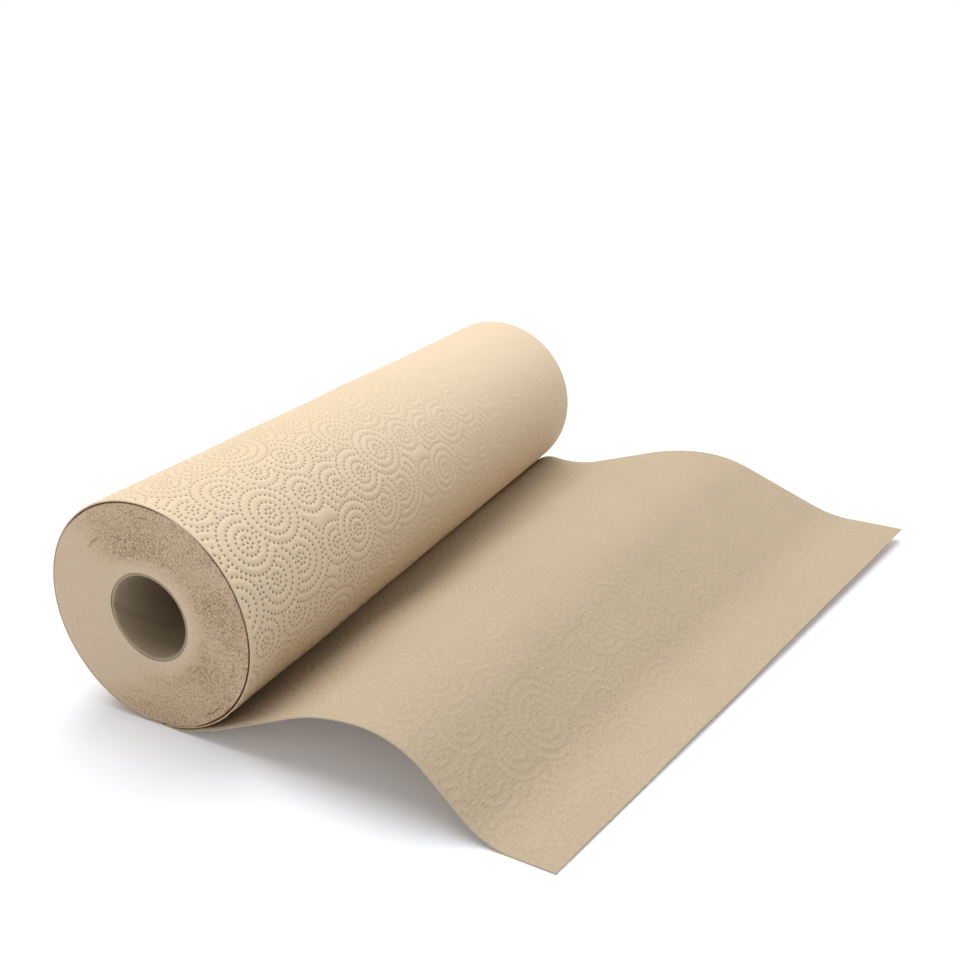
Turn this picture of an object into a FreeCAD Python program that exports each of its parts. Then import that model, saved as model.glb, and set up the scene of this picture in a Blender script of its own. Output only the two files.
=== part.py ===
import FreeCAD, Part

import math
import os
import Sketcher

# Paper towel roll lying on its side. The roll's axis runs along Y through the origin,
# +Z is up, and the loose tail runs out over the floor towards +X.

SIZES = {
    # Sheet and wound roll
    "roll_length": 280.0,
    "roll_diameter": 86.0,
    "flat_spot_width": 14.0,
    "paper_thickness": 0.4,
    "nip_gap": 0.6,
    # Core tube
    "core_bore": 30.4,
    "core_wall": 1.1,
    "core_clearance": 0.05,
    # Gaps under the last turn, from one angle to another, counted from +X
    "side_gap_start": -70.0,
    "side_gap_end": 58.0,
    "side_gap_width": 1.1,
    "top_gap_start": 66.0,
    "top_gap_end": 142.0,
    "top_gap_width": 0.55,
    "gap_end_width": 0.28,
    # Spiral line that the turns leave on both ends of the roll
    "line_turns": 4,
    "line_first_radius": 19.0,
    "line_pitch": 4.7,
    "line_width": 1.2,
    "line_depth": 0.35,
    # Tail, near edge at -Y
    "near_skew": 3.0,
    "near_peel_angle": 23.0,
    "near_dip_angle": 18.0,
    "near_rise_angle": 26.0,
    "near_bump_radius": 30.0,
    "near_valley_radius": 60.0,
    "near_crest_x": 85.0,
    "near_crest_height": 27.6,
    "near_crest_radius": 34.0,
    "near_fall_angle": 43.0,
    "near_landing_radius": 24.0,
    "near_end_lift": 0.0,
    "near_end_x": 151.0,
    # Tail, far edge at +Y
    "far_skew": 1.6,
    "far_peel_angle": 38.0,
    "far_dip_angle": -10.0,
    "far_rise_angle": 20.0,
    "far_bump_radius": 13.0,
    "far_valley_radius": 50.0,
    "far_crest_x": 119.0,
    "far_crest_height": 28.5,
    "far_crest_radius": 60.0,
    "far_fall_angle": 23.0,
    "far_landing_radius": 50.0,
    "far_end_lift": 5.2,
    "far_end_x": 219.0,
}

SHEET = "Sizes"
AXIS_HEIGHT = f"sqrt(({SHEET}.roll_diameter / 2)^2 - ({SHEET}.flat_spot_width / 2)^2)"
TURN_STEP = f"({SHEET}.paper_thickness + {SHEET}.nip_gap)"
INNER_RADIUS = f"({SHEET}.roll_diameter / 2 - {TURN_STEP})"
CORE_RADIUS = f"({SHEET}.core_bore / 2 + {SHEET}.core_wall)"

START, END, CENTRE = range(1, 4)
UP_AXIS = -2
ORIGIN = (-1, START)
SIDES = (("near", -1), ("far", 1))

doc = FreeCAD.newDocument("paper_towel_roll")


def make_sheet():
    sheet = doc.addObject("Spreadsheet::Sheet", SHEET)
    for row, (alias, value) in enumerate(SIZES.items(), start=1):
        sheet.set(f"A{row}", alias.replace("_", " "))
        sheet.set(f"B{row}", str(value))
        sheet.setAlias(f"B{row}", alias)
    doc.recompute()
    return sheet


def size(alias):
    return float(getattr(doc.getObject(SHEET), alias))


def plane_of(body, role):
    for feature in body.Origin.OriginFeatures:
        if feature.Role == role:
            return feature
    raise LookupError(role)


def sketch_in(body, name, role):
    sketch = body.newObject("Sketcher::SketchObject", name)
    sketch.AttachmentSupport = [(plane_of(body, role), "")]
    sketch.MapMode = "FlatFace"
    return sketch


def bind(sketch, constraint, expression):
    index = sketch.addConstraint(constraint)
    sketch.setExpression(f"Constraints[{index}]", expression)


def bind_point(sketch, geometry, position, across, up):
    """Ties a point to its distances from the sketch's origin."""
    point = sketch.getPoint(geometry, position)
    bind(sketch, Sketcher.Constraint("DistanceX", *ORIGIN, geometry, position, point.x), across)
    bind(sketch, Sketcher.Constraint("DistanceY", *ORIGIN, geometry, position, point.y), up)


def bind_circle(sketch, geometry, radius_expression):
    """Centres a circle or arc on the origin and ties its radius."""
    sketch.addConstraint(Sketcher.Constraint("Coincident", geometry, CENTRE, *ORIGIN))
    radius = sketch.Geometry[geometry].Radius
    bind(sketch, Sketcher.Constraint("Radius", geometry, radius), radius_expression)


def point_at(radius, degrees):
    angle = math.radians(degrees)
    return FreeCAD.Vector(radius * math.cos(angle), radius * math.sin(angle), 0)


def arc(centre, radius, first_degrees, last_degrees):
    circle = Part.Circle(centre, FreeCAD.Vector(0, 0, 1), radius)
    return Part.ArcOfCircle(circle, math.radians(first_degrees), math.radians(last_degrees))


def pad_along_roll(body, name, sketch):
    pad = body.newObject("PartDesign::Pad", name)
    pad.Profile = sketch
    pad.Midplane = True
    pad.setExpression("Length", f"{SHEET}.roll_length")
    return pad


def make_core_tube():
    """Paperboard tube that the paper is wound on."""
    body = doc.addObject("PartDesign::Body", "core_tube")
    ring = sketch_in(body, "core_ring", "XZ_Plane")
    bore = ring.addGeometry(Part.Circle(FreeCAD.Vector(), FreeCAD.Vector(0, 0, 1), size("core_bore") / 2))
    outer_radius = size("core_bore") / 2 + size("core_wall")
    outside = ring.addGeometry(Part.Circle(FreeCAD.Vector(), FreeCAD.Vector(0, 0, 1), outer_radius))
    bind_circle(ring, bore, f"{SHEET}.core_bore / 2")
    bind_circle(ring, outside, CORE_RADIUS)
    pad_along_roll(body, "core_length", ring)
    return body


def draw_turns(sketch):
    """Section of the turns: two half turns of a spiral, the flat spot and the hole for the core."""
    outer = size("roll_diameter") / 2
    half_flat = size("flat_spot_width") / 2
    height = math.sqrt(outer ** 2 - half_flat ** 2)
    step = size("paper_thickness") + size("nip_gap")
    right_radius = outer - step
    left_radius = right_radius + step / 2
    left_centre = FreeCAD.Vector(0, -step / 2, 0)
    left_end_x = -math.sqrt(left_radius ** 2 - (height - step / 2) ** 2)
    right_start = FreeCAD.Vector(half_flat, -math.sqrt(right_radius ** 2 - half_flat ** 2), 0)
    right_angle = math.degrees(math.atan2(right_start.y, right_start.x))
    left_angle = math.degrees(math.atan2(-height - left_centre.y, left_end_x)) + 360

    floor_left = FreeCAD.Vector(left_end_x, -height, 0)
    floor_middle = FreeCAD.Vector(0, -height, 0)
    ledge_left = FreeCAD.Vector(0, -height + size("paper_thickness"), 0)
    ledge_right = FreeCAD.Vector(half_flat, ledge_left.y, 0)

    flat = sketch.addGeometry(Part.LineSegment(floor_left, floor_middle))
    rise = sketch.addGeometry(Part.LineSegment(floor_middle, ledge_left))
    ledge = sketch.addGeometry(Part.LineSegment(ledge_left, ledge_right))
    nip = sketch.addGeometry(Part.LineSegment(ledge_right, right_start))
    right = sketch.addGeometry(arc(FreeCAD.Vector(), right_radius, right_angle, 90))
    left = sketch.addGeometry(arc(left_centre, left_radius, 90, left_angle))

    for first, second in ((flat, rise), (rise, ledge), (ledge, nip), (nip, right), (right, left)):
        sketch.addConstraint(Sketcher.Constraint("Coincident", first, END, second, START))
    sketch.addConstraint(Sketcher.Constraint("Coincident", left, END, flat, START))
    for line in (flat, ledge):
        sketch.addConstraint(Sketcher.Constraint("Horizontal", line))
    for line in (rise, nip):
        sketch.addConstraint(Sketcher.Constraint("Vertical", line))
    bind_point(sketch, flat, END, "0", f"-{AXIS_HEIGHT}")
    bind(sketch, Sketcher.Constraint("DistanceY", rise, START, rise, END, size("paper_thickness")),
         f"{SHEET}.paper_thickness")
    bind(sketch, Sketcher.Constraint("DistanceX", ledge, START, ledge, END, half_flat),
         f"{SHEET}.flat_spot_width / 2")
    bind_circle(sketch, right, INNER_RADIUS)
    sketch.addConstraint(Sketcher.Constraint("PointOnObject", right, END, UP_AXIS))
    sketch.addConstraint(Sketcher.Constraint("PointOnObject", left, CENTRE, UP_AXIS))
    bind(sketch, Sketcher.Constraint("Radius", left, left_radius), f"{INNER_RADIUS} + {TURN_STEP} / 2")

    hole_radius = size("core_bore") / 2 + size("core_wall") + size("core_clearance")
    hole = sketch.addGeometry(Part.Circle(FreeCAD.Vector(), FreeCAD.Vector(0, 0, 1), hole_radius))
    bind_circle(sketch, hole, f"{CORE_RADIUS} + {SHEET}.core_clearance")


def draw_gap(sketch, gap):
    """Crescent under the last turn: its inner arc is flatter, so the turn stands off in the middle."""
    first = size(f"{gap}_start")
    last = size(f"{gap}_end")
    half_span = math.radians((last - first) / 2)
    outer = size("roll_diameter") / 2 - size("nip_gap") - 2 * size("paper_thickness")
    inner_end = outer - size("gap_end_width")
    inner_middle = outer - size(f"{gap}_width")
    offset = (inner_end ** 2 - inner_middle ** 2) / (2 * (inner_end * math.cos(half_span) - inner_middle))
    inner_radius = inner_middle - offset
    centre = point_at(offset, (first + last) / 2)
    low = point_at(inner_end, first) - centre
    high = point_at(inner_end, last) - centre
    low_angle = math.degrees(math.atan2(low.y, low.x))
    high_angle = math.degrees(math.atan2(high.y, high.x)) % 360
    if high_angle - low_angle > 360:
        high_angle -= 360

    outside = sketch.addGeometry(arc(FreeCAD.Vector(), outer, first, last))
    inside = sketch.addGeometry(arc(centre, inner_radius, low_angle, high_angle))
    low_end = sketch.addGeometry(Part.LineSegment(point_at(outer, first), point_at(inner_end, first)))
    high_end = sketch.addGeometry(Part.LineSegment(point_at(outer, last), point_at(inner_end, last)))
    for end, side in ((low_end, START), (high_end, END)):
        sketch.addConstraint(Sketcher.Constraint("Coincident", end, START, outside, side))
        sketch.addConstraint(Sketcher.Constraint("Coincident", end, END, inside, side))
        sketch.addConstraint(Sketcher.Constraint("PointOnObject", *ORIGIN, end))
        bind(sketch, Sketcher.Constraint("Distance", end, size("gap_end_width")), f"{SHEET}.gap_end_width")
    outer_text = f"({SHEET}.roll_diameter / 2 - {SHEET}.nip_gap - 2 * {SHEET}.paper_thickness)"
    bind_circle(sketch, outside, outer_text)
    for end, side in ((low_end, "start"), (high_end, "end")):
        point = sketch.getPoint(end, START)
        bind(sketch, Sketcher.Constraint("DistanceX", *ORIGIN, end, START, point.x),
             f"{outer_text} * cos({SHEET}.{gap}_{side} * 1 deg)")
    end_text = f"({outer_text} - {SHEET}.gap_end_width)"
    middle_text = f"({outer_text} - {SHEET}.{gap}_width)"
    half_text = f"(({SHEET}.{gap}_end - {SHEET}.{gap}_start) / 2 * 1 deg)"
    offset_text = (f"({end_text}^2 - {middle_text}^2)"
                   f" / (2 * ({end_text} * cos({half_text}) - {middle_text}))")
    bind(sketch, Sketcher.Constraint("Radius", inside, inner_radius), f"{middle_text} - {offset_text}")


def draw_line_section(sketch, sign, turn):
    """Section of the groove on one end, where the given turn of the spiral crosses the plane X = 0."""
    end = sign * size("roll_length") / 2
    depth = sign * size("line_depth")
    height = size("line_first_radius") + turn * size("line_pitch")
    half_width = size("line_width") / 2
    low = FreeCAD.Vector(end + depth, height - half_width, 0)
    high = FreeCAD.Vector(end + depth, height + half_width, 0)
    tip = FreeCAD.Vector(end - depth, height, 0)
    mouth = sketch.addGeometry(Part.LineSegment(low, high))
    upper = sketch.addGeometry(Part.LineSegment(high, tip))
    lower = sketch.addGeometry(Part.LineSegment(tip, low))
    for first, second in ((mouth, upper), (upper, lower), (lower, mouth)):
        sketch.addConstraint(Sketcher.Constraint("Coincident", first, END, second, START))
    outside = f"{sign} * ({SHEET}.roll_length / 2 + {SHEET}.line_depth)"
    inside = f"{sign} * ({SHEET}.roll_length / 2 - {SHEET}.line_depth)"
    middle = f"{SHEET}.line_first_radius + {turn} * {SHEET}.line_pitch"
    bind_point(sketch, mouth, START, outside, f"{middle} - {SHEET}.line_width / 2")
    bind_point(sketch, mouth, END, outside, f"{middle} + {SHEET}.line_width / 2")
    bind_point(sketch, upper, END, inside, middle)


def draw_low_axis(sketch):
    """Centre line of the spiral's left half turns, half a pitch below the roll's axis."""
    level = -size("line_pitch") / 2
    axis = sketch.addGeometry(Part.LineSegment(FreeCAD.Vector(0, level, 0), FreeCAD.Vector(1, level, 0)), True)
    bind_point(sketch, axis, START, "0", f"-{SHEET}.line_pitch / 2")
    sketch.addConstraint(Sketcher.Constraint("Horizontal", axis))
    sketch.addConstraint(Sketcher.Constraint("Distance", axis, 1))


def cut_half_turns(body, side, first_turn, axis_name):
    """Half turns of the spiral line on both ends, turned about one centre line from top to bottom."""
    sketch = sketch_in(body, f"{side}_half_turns", "YZ_Plane")
    if axis_name == "Axis0":
        draw_low_axis(sketch)
    for turn in range(first_turn, first_turn + int(size("line_turns"))):
        for _, sign in SIDES:
            draw_line_section(sketch, sign, turn)
    groove = body.newObject("PartDesign::Groove", f"{side}_turn_line")
    groove.Profile = sketch
    groove.ReferenceAxis = (sketch, [axis_name])
    groove.Angle = 180
    groove.Reversed = side == "right"
    doc.recompute()


def make_wound_turns():
    """The wound part of the web: a spiral section with the last turn standing off in places."""
    body = doc.addObject("PartDesign::Body", "wound_turns")
    section = sketch_in(body, "turns_section", "XZ_Plane")
    draw_turns(section)
    pad_along_roll(body, "turns", section)
    doc.recompute()

    gaps = sketch_in(body, "gaps_under_last_turn", "XZ_Plane")
    for gap in ("side_gap", "top_gap"):
        draw_gap(gaps, gap)
    pocket = body.newObject("PartDesign::Pocket", "loose_last_turn")
    pocket.Profile = gaps
    pocket.Type = "ThroughAll"
    pocket.Midplane = True
    doc.recompute()

    cut_half_turns(body, "left", 0, "Axis0")
    cut_half_turns(body, "right", 1, "H_Axis")
    return body


def tail_moves(side):
    """Tail edge as a chain of moves, each a line or an arc with its first and last heading."""
    outer = size("roll_diameter") / 2
    half_flat = size("flat_spot_width") / 2
    height = math.sqrt(outer ** 2 - half_flat ** 2)
    peel = size(f"{side}_peel_angle")
    dip = size(f"{side}_dip_angle")
    rise = size(f"{side}_rise_angle")
    fall = size(f"{side}_fall_angle")
    flat_heading = math.degrees(math.asin(half_flat / outer))

    moves = [("line", 0, half_flat), ("arc", flat_heading, peel, outer)]
    moves.append(("arc", peel, dip, size(f"{side}_bump_radius")))
    moves.append(("arc", dip, rise, size(f"{side}_valley_radius")))
    across, up = walk((0, -height), moves)
    across = size(f"{side}_crest_x") - across
    up = size(f"{side}_crest_height") - height - up
    sin_rise, cos_rise = math.sin(math.radians(rise)), math.cos(math.radians(rise))
    slope = (across * (1 - cos_rise) - up * sin_rise) / (cos_rise * (1 - cos_rise) - sin_rise ** 2)
    moves.append(("line", rise, slope))
    moves.append(("arc", rise, 0, (across - slope * cos_rise) / sin_rise))

    round_drop = size(f"{side}_crest_radius") + size(f"{side}_landing_radius")
    drop = size(f"{side}_crest_height") - size(f"{side}_end_lift")
    sin_fall, cos_fall = math.sin(math.radians(fall)), math.cos(math.radians(fall))
    moves.append(("arc", 0, -fall, size(f"{side}_crest_radius")))
    moves.append(("line", -fall, (drop - round_drop * (1 - cos_fall)) / sin_fall))
    moves.append(("arc", -fall, 0, size(f"{side}_landing_radius")))
    reached, level = walk((0, -height), moves)
    moves.append(("line", 0, size(f"{side}_end_x") - reached))
    return (0, -height), moves


def walk(start, moves, geometry=None):
    """Follows the moves, adds each one's edge to geometry and returns where they end."""
    x, z = start
    for kind, heading, *rest in moves:
        here = FreeCAD.Vector(x, z, 0)
        if kind == "line":
            x += rest[0] * math.cos(math.radians(heading))
            z += rest[0] * math.sin(math.radians(heading))
            edge = Part.LineSegment(here, FreeCAD.Vector(x, z, 0))
        else:
            last_heading, radius = rest
            turn = 1 if last_heading > heading else -1
            centre = here + point_at(radius, heading + turn * 90)
            there = centre + point_at(radius, last_heading - turn * 90)
            x, z = there.x, there.y
            if turn > 0:
                edge = arc(centre, radius, heading - 90, last_heading - 90)
            else:
                edge = arc(centre, radius, last_heading + 90, heading + 90)
        if geometry is not None:
            geometry.append(edge)
    return x, z


def make_tail_edge(side, sign):
    """Sketch of one edge of the tail, in a plane across the roll that is turned by the skew."""
    sketch = doc.addObject("Sketcher::SketchObject", f"{side}_tail_edge")
    placement = (f"placement(vector(0; {sign} * {SHEET}.roll_length / 2; 0);"
                 f" rotation(vector(0; 0; 1); -{SHEET}.{side}_skew) * rotation(vector(1; 0; 0); 90))")
    sketch.setExpression("Placement", placement)
    start, moves = tail_moves(side)
    geometry = []
    walk(start, moves, geometry)
    floor, wrap, bump, valley, slope, climb, crest, drop, landing, end = [
        sketch.addGeometry(edge) for edge in geometry]

    # An arc that turns down is drawn backwards, so its first point is its end.
    backwards = {bump, climb, crest}
    chain = [floor, wrap, bump, valley, slope, climb, crest, drop, landing, end]
    for first, second in zip(chain, chain[1:]):
        first_side = START if first in backwards else END
        second_side = END if second in backwards else START
        kind = "Coincident" if first == floor else "Tangent"
        sketch.addConstraint(Sketcher.Constraint(kind, first, first_side, second, second_side))

    name = f"{SHEET}.{side}"
    bind_point(sketch, floor, START, "0", f"-{AXIS_HEIGHT}")
    sketch.addConstraint(Sketcher.Constraint("Horizontal", floor))
    bind_circle(sketch, wrap, f"{SHEET}.roll_diameter / 2")
    peel_point = sketch.getPoint(wrap, END)
    bind(sketch, Sketcher.Constraint("DistanceX", *ORIGIN, wrap, END, peel_point.x),
         f"{SHEET}.roll_diameter / 2 * sin({name}_peel_angle * 1 deg)")
    for edge, radius in ((bump, "bump"), (valley, "valley"), (crest, "crest"), (landing, "landing")):
        value = size(f"{side}_{radius}_radius")
        bind(sketch, Sketcher.Constraint("Radius", edge, value), f"{name}_{radius}_radius")
    spans = {
        bump: f"({name}_peel_angle - {name}_dip_angle)",
        valley: f"({name}_rise_angle - {name}_dip_angle)",
        crest: f"{name}_fall_angle",
        landing: f"{name}_fall_angle",
    }
    for edge, span in spans.items():
        drawn = sketch.Geometry[edge]
        bind(sketch, Sketcher.Constraint("Angle", edge, drawn.LastParameter - drawn.FirstParameter),
             f"{span} * 1 deg")
    bind_point(sketch, crest, END, f"{name}_crest_x", f"{name}_crest_height - {AXIS_HEIGHT}")
    sketch.addConstraint(Sketcher.Constraint("Vertical", climb, CENTRE, crest, END))
    bind_point(sketch, end, END, f"{name}_end_x", f"{name}_end_lift - {AXIS_HEIGHT}")
    return sketch


def make_strip(side, edge):
    """Cross-section of the sheet at one edge of the tail: the edge line thickened upwards."""
    strip = doc.addObject("Part::Offset2D", f"{side}_tail_section")
    strip.Source = edge
    strip.setExpression("Value", f"{SHEET}.paper_thickness")
    strip.Mode = "Skin"
    strip.Join = "Intersection"
    strip.Fill = True
    return strip


def make_tail():
    """Loose end of the web: a ruled sheet between its near and far edges."""
    sections = []
    for side, sign in SIDES:
        sections.append(make_strip(side, make_tail_edge(side, sign)))
    doc.recompute()
    tail = doc.addObject("Part::Loft", "tail")
    tail.Sections = sections
    tail.Solid = True
    tail.Ruled = True
    doc.recompute()
    return tail


def make_paper_web():
    """The whole web is one sheet, so the tail is one solid with the turns."""
    web = doc.addObject("Part::MultiFuse", "paper_web")
    web.Shapes = [make_wound_turns(), make_tail()]
    doc.recompute()
    return web


def check_document():
    for item in doc.Objects:
        if "Invalid" in item.State or "Error" in item.State:
            raise RuntimeError(f"{item.Label} failed: {item.State}")
        if item.isDerivedFrom("Sketcher::SketchObject") and not item.FullyConstrained:
            raise RuntimeError(f"{item.Label} is not fully constrained")


def export_part(item):
    item.Label = item.Name
    shape = item.Shape
    if shape.isNull() or not shape.isValid() or len(shape.Solids) != 1:
        raise RuntimeError(f"{item.Label} is not one valid solid")
    shape.exportStep(os.path.join("parts", f"{item.Label}.step"))
    box = shape.BoundBox
    print(item.Label, f"volume {shape.Volume:.0f} mm3, box", box)


make_sheet()
sub_parts = [make_core_tube(), make_paper_web()]
doc.recompute()
check_document()
os.makedirs("parts", exist_ok=True)
for sub_part in sub_parts:
    export_part(sub_part)
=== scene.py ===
import math

import bpy
import numpy as np
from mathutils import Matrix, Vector, geometry


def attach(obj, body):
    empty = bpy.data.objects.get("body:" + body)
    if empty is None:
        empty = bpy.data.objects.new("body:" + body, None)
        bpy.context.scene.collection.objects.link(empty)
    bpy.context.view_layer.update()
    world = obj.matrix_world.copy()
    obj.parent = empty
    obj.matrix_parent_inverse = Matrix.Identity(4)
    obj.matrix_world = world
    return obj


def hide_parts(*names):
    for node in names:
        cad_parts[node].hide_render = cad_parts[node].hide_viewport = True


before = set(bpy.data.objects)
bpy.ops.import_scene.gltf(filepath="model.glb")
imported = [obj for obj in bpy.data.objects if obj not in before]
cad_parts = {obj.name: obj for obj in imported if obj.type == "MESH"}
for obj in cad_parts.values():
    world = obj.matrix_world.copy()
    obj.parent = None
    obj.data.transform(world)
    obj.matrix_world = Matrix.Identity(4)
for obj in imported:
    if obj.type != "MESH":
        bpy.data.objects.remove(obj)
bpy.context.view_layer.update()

MM = 0.001

# The wound roll, in millimetres. The last turn is two half turns that meet at the top.
HALF_LENGTH = 140.0
SHEET_WIDTH = 2 * HALF_LENGTH
RIGHT_RADIUS = 42.0
LEFT_RADIUS = 42.5
LEFT_DROP = 0.5
SHEET_THICKNESS = 0.4
FLAT_WIDTH = 14.0
NIP_STEP = 1.0
OUTER_RADIUS = RIGHT_RADIUS + NIP_STEP
CORE_BORE_RADIUS = 15.2
CORE_OUTER_RADIUS = 16.3
PAPER_HOLE_RADIUS = 16.35
FLOOR_Z = -math.sqrt(OUTER_RADIUS ** 2 - (FLAT_WIDTH / 2) ** 2)
SHARP_ANGLE = 60

# Gap under the last turn: first angle, last angle and width, seen from the near end.
SIDE_GAP = (-70.0, 58.0, 0.8)
TOP_GAP = (66.0, 142.0, 0.55)
GAP_ENDS = 14.0
GAP_SWELL = 0.7
GAP_DEPTH = 1.2
GAP_LAP = 0.25
GAP_INSETS = (0.03, 0.05)
TIGHT_GAP = 0.1

# The last turn from the nip under the roll, up the right side and round to the floor.
NIP_ANGLE = math.radians(-88)
RIGHT_ARC = RIGHT_RADIUS * (math.pi / 2 - NIP_ANGLE)
FLAT_ANGLE = math.asin(FLAT_WIDTH / 2 / LEFT_RADIUS)
LEFT_ARC = LEFT_RADIUS * (math.pi - FLAT_ANGLE)
TURN_LENGTH = RIGHT_ARC + LEFT_ARC + FLAT_WIDTH / 2

# The cut ends: grid of points, then where they are smooth and how deep the rest is torn.
END_SEGMENTS = 620
END_RINGS = 76
SMOOTH_SIDE = 195.0
SMOOTH_SPREAD = 66.0
SMOOTH_REACH = 1.4
SMOOTH_RING = 18.0
SMOOTH_RING_FADE = 6.0
ROUGH_BY_CORE = 0.05
MEAN_ROUGH = 0.8
LEAST_ROUGH = 0.06
PATCH_ROUGH = 0.2
PATCH_SIZE = 26
PATCH_DEPTH = 0.08
GRAIN_DEPTH = 0.09
HIGHEST_GRAIN = 1.2
HOLE_GRAIN = 1.1
HOLE_GRAIN_RANGE = 0.6
HOLE_GAIN = 1.3
HOLE_SHADE = 0.7
HOLE_DEPTH = 0.12
DISH_RADIUS = 21.0
DISH_WIDTH = 5.0
DISH_DEPTH = 0.3
RIM_DROP = 0.1
LEAST_DOWNWARD = 0.2

# Cracks between turns on the cut ends: angle, radius, half length and depth. They get painted
# shade.
CRACKS = (
    (130, 31.5, 3.5, 0.45), (84, 37.0, 3.0, 0.35), (-52, 38.4, 5.0, 0.5),
    (20, 29.0, 3.5, 0.25), (-20, 35.6, 5.0, 0.3), (60, 24.5, 3.0, 0.25))
CRACK_WIDTH = 0.3
CRACK_WANDER = 0.2
CRACK_SHADE = 1.3

# The core: grid of points, how far it stands back, its rim's edges (off, along) and its seam.
CORE_SEGMENTS = 112
CORE_ROWS = 150
CORE_RECESS = 0.3
CORE_LAP = 6.0
CORE_OUTER_EDGE = (0.02, 0.03)
CORE_INNER_EDGE = ((0.3, 0.0), (0.05, 0.2))
CORE_BORE_START = 1.0
CORE_BORE_MARGIN = 0.1
SEAM_LEAD = 92.0
SEAM_WIDTH = 1.6
SEAM_DEPTH = 0.16

# Edges of the loose tail: headings in degrees, radii and places in millimetres.
NEAR_EDGE = dict(skew=3.0, peel=23, dip=18, rise=26, bump_radius=30, valley_radius=60,
                 crest_x=85, crest_height=27.6, crest_radius=34, fall=43,
                 landing_radius=24, end_lift=0, end_x=151)
FAR_EDGE = dict(skew=1.6, peel=38, dip=-10, rise=20, bump_radius=13, valley_radius=50,
                crest_x=119, crest_height=28.5, crest_radius=60, fall=23,
                landing_radius=50, end_lift=5.2, end_x=219)

# Embossed pattern: a tile of dotted rings that repeats along and across the sheet.
TILE_LENGTH = 88.0
TILE_WIDTH = 70.0
TILE_ROWS = 5
TILE_COLUMNS = 4
CENTRE_JITTER = 0.14
RING_RADII = (0.0, 2.0, 4.7, 8.0, 11.4, 14.8)
FEWEST_RINGS = 3
PHASES = (0, 6)
DOT_PITCH = 1.9
DOT_MARGIN = 1.35
BAND_PITCH = 2.3
BAND_MARGIN = 0.9
BAND_TO_DOT = 0.85
FILL_PITCH = 1.1
FILL_JITTER = 0.15
FILL_TO_DOT = 1.15
FILL_TO_BAND = 1.6
PIT_RADIUS = 0.58
PIT_SIDES = 6
EDGE_ROOM = 0.5
OUTLINE_STEP = 1.5
PATTERN_SEED = 11

# Relief in millimetres, how dark its pits are painted (their own tint and painted shade), and how
# it fades across the sheet.
PIT_DEPTH = 0.6
PUFF_HEIGHT = 0.30
PIT_SHADE = 2.0
PIT_FADE = 3
ROLL_FADE = ([0, 70, 150, 215, 280], [1.0, 0.93, 0.58, 0.25, 0.17])
TAIL_BUMP = 0.30
TAIL_DIP = 0.05
TAIL_PIT_SHADE = 0.20
TAIL_FADE = ([0, 100, 280], [1.0, 0.9, 0.3])

# Gentle waves of the sheet: size, seed and height, then how their sizes and phases vary.
ROLL_WAVES = (60, 3, 0.10)
TAIL_WAVES = (70, 5, 0.35)
WAVE_SIZES = (0.7, 1.6)
WAVE_PHASES = (0, 6.3)

# Where waves and relief grow or sink: near the roll, at the end of the tail and under the roll.
WAVE_START = 6.0
WAVE_GROWTH = 30.0
RELIEF_GROWTH = 20.0
RELIEF_AT_ROLL = 0.1
RELIEF_END = 4.0
RELIEF_AT_END = 0.15
SINK_START = 12.0
SINK_END = 6.0

# The sheet's cut edges on the roll: how far they turn in, and how dark their painted shade is
# there, under the last turn.
CUT_EDGE = ((0.0, 0.25), (6.0, 0.5))

# The sheets tear off along rows of slits, one sheet length apart.
SHEET_LENGTH = 250.0
SLIT_LENGTH = 4.0
SLIT_TIE = 1.0
SLIT_INSET = 1.0
SLIT_SIDE = 0.32
SLIT_DEPTH = 0.4
SLIT_SHADE = 0.2

# Colours of the finishes, linear.
PAPER = (0.77, 0.62, 0.435)
# A darker copy of PAPER, used where the sheet's inside face shows on the tail.
PAPER_INSIDE = (0.508, 0.402, 0.280)
# The pits' own tint together with painted shade in the hollows.
PAPER_PIT_TINT_AND_SHADE = (0.33, 0.22, 0.12)
PAPER_FLECK = (0.47, 0.34, 0.21)
CUT_PAPER = (0.84, 0.62, 0.405)
CUT_PAPER_SMOOTH = (0.77, 0.60, 0.425)
# Dark specks at random, and painted shade in the holes and cracks of the cut ends.
CUT_PAPER_SPECK_AND_HOLE_SHADE = (0.30, 0.175, 0.085)
# Painted shade in the gap under the last turn.
GAP_SHADE = (0.45, 0.19, 0.06)
BOARD = (0.42, 0.33, 0.225)
BOARD_SEAM = (0.20, 0.145, 0.09)
WHITE = (1, 1, 1)
FLOOR = (0.87, 0.885, 0.93)
FLOOR_GLOW = 0.09

# Radius in metres of the small ring that the cut paper's noise runs on.
NOISE_RING = 0.010

# The tail's tables and the grid of its underside, and how points are joined to triangles.
EDGE_STEPS = 60
TABLE_ROWS = 71
TABLE_STEP = 0.5
SLOPE_STEP = 0.8
UNDERSIDE_COLUMNS = 100
UNDERSIDE_ROWS = 70
UNDERSIDE_INSET = 1.2
UNDERSIDE_ENDS = (0.006, 0.994)
KEEP_INSIDE = 1
SAME_POINT = 1e-5

# Floor and camera, in metres.
FLOOR_REACH = 6.0
FLOOR_BELOW = 0.0001
CAMERA_PLACE = (0.2306, -0.3653, 0.1704)
CAMERA_AIM = (-0.4007, 0.838, -0.3704)
CAMERA_LENS = 38.64
CAMERA_SENSOR = 36


# Shader maths

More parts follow.
